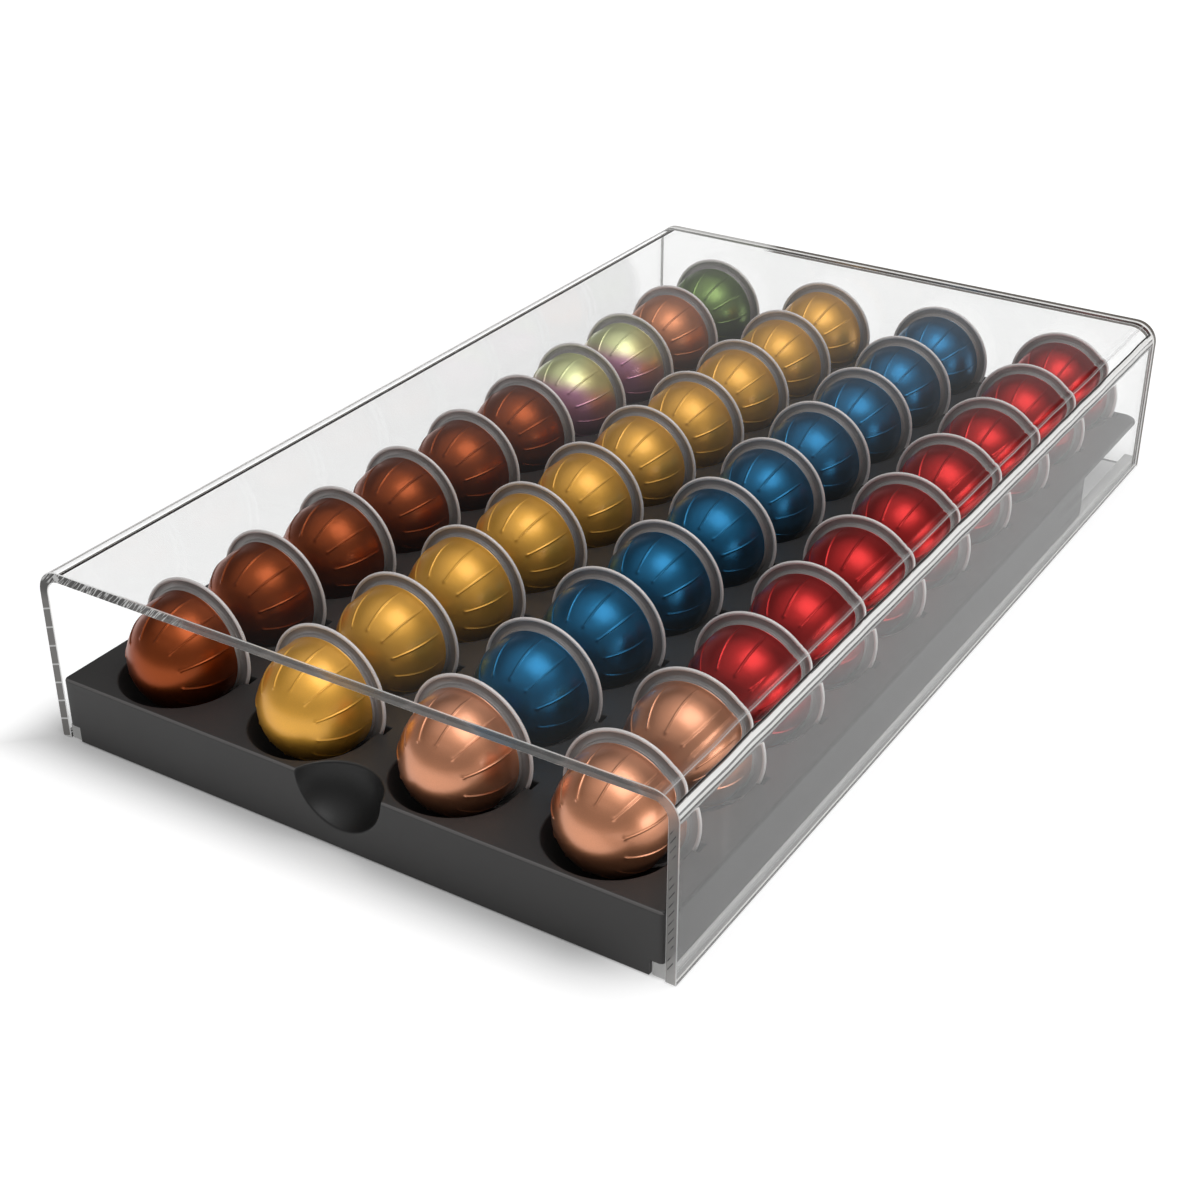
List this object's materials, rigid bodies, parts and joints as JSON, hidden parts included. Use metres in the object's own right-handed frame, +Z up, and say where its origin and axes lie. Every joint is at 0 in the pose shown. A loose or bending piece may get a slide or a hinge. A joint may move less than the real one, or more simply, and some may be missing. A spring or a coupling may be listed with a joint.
{
  "type": "coffee pod drawer",
  "caption": "Clear bent-acrylic cover with a moulded tray that slides out of it, holding rows of domed coffee pods on edge.",
  "frame": {"origin": "middle of the footprint, on the counter that the cover stands on", "axes": "+X to the right seen from the open front, +Y to the rear, +Z up; the drawer pulls out along -Y"},
  "size_m": [0.32, 0.53, 0.087],
  "materials": {
    "clear_acrylic": "clear cast acrylic sheet with polished faces",
    "tray_plastic": "moulded charcoal plastic with a fine satin grain",
    "lid_foil": "plain foil",
    "pod_brown": "lacquered satin metal",
    "pod_copper": "lacquered satin metal",
    "pod_gold": "lacquered satin metal",
    "pod_blue": "lacquered satin metal",
    "pod_red": "lacquered satin metal",
    "pod_violet": "lacquered satin metal",
    "pod_green": "lacquered satin metal"
  },
  "bodies": {
    "cover": {"cover": "clear_acrylic", "back_panel": "clear_acrylic", "runner_left": "clear_acrylic", "runner_right": "clear_acrylic"},
    "drawer": {"tray": "tray_plastic", "lids_a": "lid_foil", "lids_b": "lid_foil", "lids_c": "lid_foil", "lids_d": "lid_foil", "pod_a1": "pod_brown", "pod_a2": "pod_brown", "pod_a3": "pod_brown", "pod_a4": "pod_brown", "pod_a5": "pod_brown", "pod_a6": "pod_brown", "pod_a7": "pod_violet", "pod_a8": "pod_violet", "pod_a9": "pod_copper", "pod_a10": "pod_green", "pod_b1": "pod_gold", "pod_b2": "pod_gold", "pod_b3": "pod_gold", "pod_b4": "pod_gold", "pod_b5": "pod_gold", "pod_b6": "pod_gold", "pod_b7": "pod_gold", "pod_b8": "pod_gold", "pod_b9": "pod_gold", "pod_b10": "pod_gold", "pod_c1": "pod_copper", "pod_c2": "pod_blue", "pod_c3": "pod_blue", "pod_c4": "pod_blue", "pod_c5": "pod_blue", "pod_c6": "pod_blue", "pod_c7": "pod_blue", "pod_c8": "pod_blue", "pod_c9": "pod_blue", "pod_c10": "pod_blue", "pod_d1": "pod_copper", "pod_d2": "pod_copper", "pod_d3": "pod_red", "pod_d4": "pod_red", "pod_d5": "pod_red", "pod_d6": "pod_red", "pod_d7": "pod_red", "pod_d8": "pod_red", "pod_d9": "pod_red", "pod_d10": "pod_red"}
  },
  "joints": [
    {"name": "drawer_slide", "type": "slide", "parent": "cover", "child": "drawer", "axis": [0, -1, 0], "range_m": [0, 0.4]}
  ]
}
